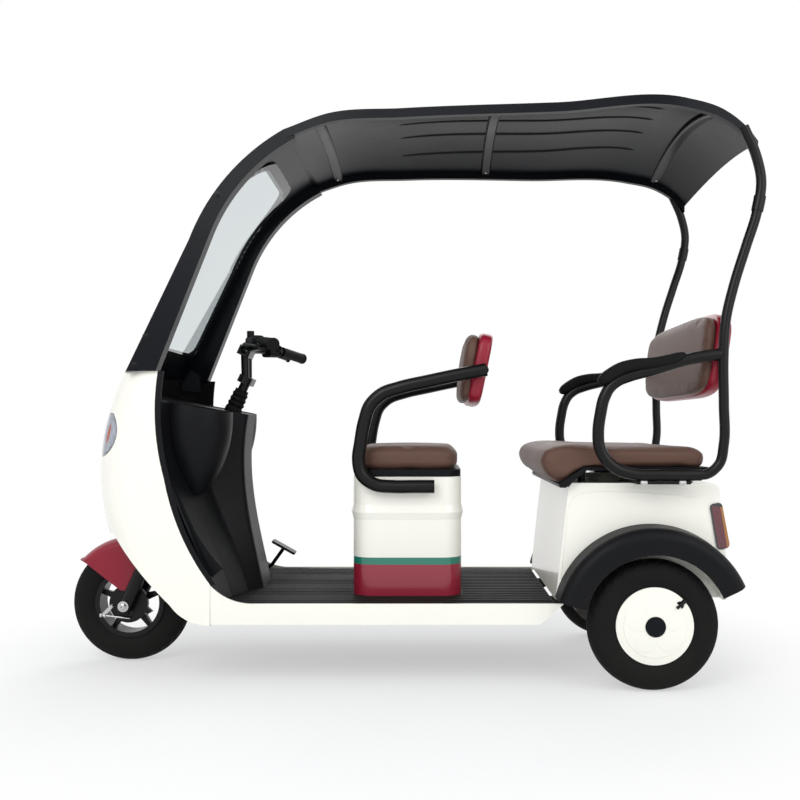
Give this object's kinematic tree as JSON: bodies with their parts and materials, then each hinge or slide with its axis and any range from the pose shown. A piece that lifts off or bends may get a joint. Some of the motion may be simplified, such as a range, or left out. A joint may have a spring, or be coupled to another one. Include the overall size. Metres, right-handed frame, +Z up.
{
  "type": "electric tricycle",
  "caption": "Electric passenger tricycle with canopy and windscreen, one steered front wheel, a driver's seat on a bin and a hinged rear bench between armrest loops.",
  "frame": {"origin": "on the ground under the middle of the overall box", "axes": "+X forward, +Y to the vehicle's left, +Z up"},
  "size_m": [2.0769, 0.858, 1.7095],
  "materials": {
    "black_steel": "satin black paint on steel tube",
    "black_plastic": "satin black moulded plastic",
    "black_rubber": "matt foam and rubber",
    "cream_paint": "gloss cream",
    "red_plastic": "gloss crimson moulding",
    "brown_leather": "matt brown leathercloth",
    "clear_lens": "clear moulded lens",
    "red_lens": "smoked red lens",
    "window_glass": "light grey tint",
    "tyre": "matt black",
    "black_rim": "satin black",
    "cast_metal": "painted casting"
  },
  "bodies": {
    "chassis": {"chassis_frame": "black_steel", "floor_pan": "black_plastic", "side_skirts": "cream_paint", "front_fairing": "cream_paint", "fairing_trim": "black_plastic", "dash_panel": "black_plastic", "steering_boot": "black_rubber", "headlamps": "clear_lens", "windscreen_frame": "black_plastic", "windscreen": "window_glass", "roof_panel": "black_plastic", "roof_bars": "black_steel", "rear_post_left": "black_steel", "rear_post_right": "black_steel", "armrest_loop_left": "black_steel", "armrest_loop_right": "black_steel", "armrest_pads": "black_rubber", "bench_supports": "black_steel", "rear_body": "cream_paint", "tail_lamps": "red_lens", "rear_fenders": "black_plastic", "rear_axle": "cast_metal", "leaf_springs": "black_steel", "rear_backrest_pad": "brown_leather", "rear_backrest_shell": "red_plastic", "seat_bin": "cream_paint", "battery_pack": "black_plastic", "driver_bars": "black_steel", "driver_backrest_pad": "brown_leather", "driver_backrest_shell": "red_plastic", "brake_pedal": "black_steel"},
    "steering": {"fork": "black_steel", "handlebar": "black_steel", "grips": "black_rubber", "control_housings": "black_plastic", "front_mudguard": "red_plastic"},
    "front_wheel": {"front_tyre": "tyre", "front_rim": "black_rim"},
    "rear_wheel_left": {"rear_tyre_left": "tyre", "rear_rim_left": "cream_paint"},
    "rear_wheel_right": {"rear_tyre_right": "tyre", "rear_rim_right": "cream_paint"},
    "driver_seat": {"driver_seat_pan": "black_plastic", "driver_cushion": "brown_leather"},
    "rear_seat": {"rear_seat_pan": "black_plastic", "rear_cushion": "brown_leather"}
  },
  "joints": [
    {"name": "steer", "type": "hinge", "parent": "chassis", "child": "steering", "pos_m": [0.745, 0, 0.313], "axis": [-0.4147, 0, 0.91], "range_deg": [-35, 35]},
    {"name": "front_wheel_spin", "type": "hinge", "parent": "steering", "child": "front_wheel", "pos_m": [0.846, 0, 0.184], "axis": [0, 1, 0], "continuous": true},
    {"name": "rear_left_spin", "type": "hinge", "parent": "chassis", "child": "rear_wheel_left", "pos_m": [-0.72, 0.36, 0.184], "axis": [0, 1, 0], "continuous": true},
    {"name": "rear_right_spin", "type": "hinge", "parent": "chassis", "child": "rear_wheel_right", "pos_m": [-0.72, -0.36, 0.184], "axis": [0, 1, 0], "continuous": true},
    {"name": "driver_seat_hinge", "type": "hinge", "parent": "chassis", "child": "driver_seat", "pos_m": [0.133, 0, 0.594], "axis": [0, 1, 0], "range_deg": [0, 60]},
    {"name": "rear_seat_hinge", "type": "hinge", "parent": "chassis", "child": "rear_seat", "pos_m": [-0.47, 0, 0.552], "axis": [0, 1, 0], "range_deg": [0, 75]}
  ]
}
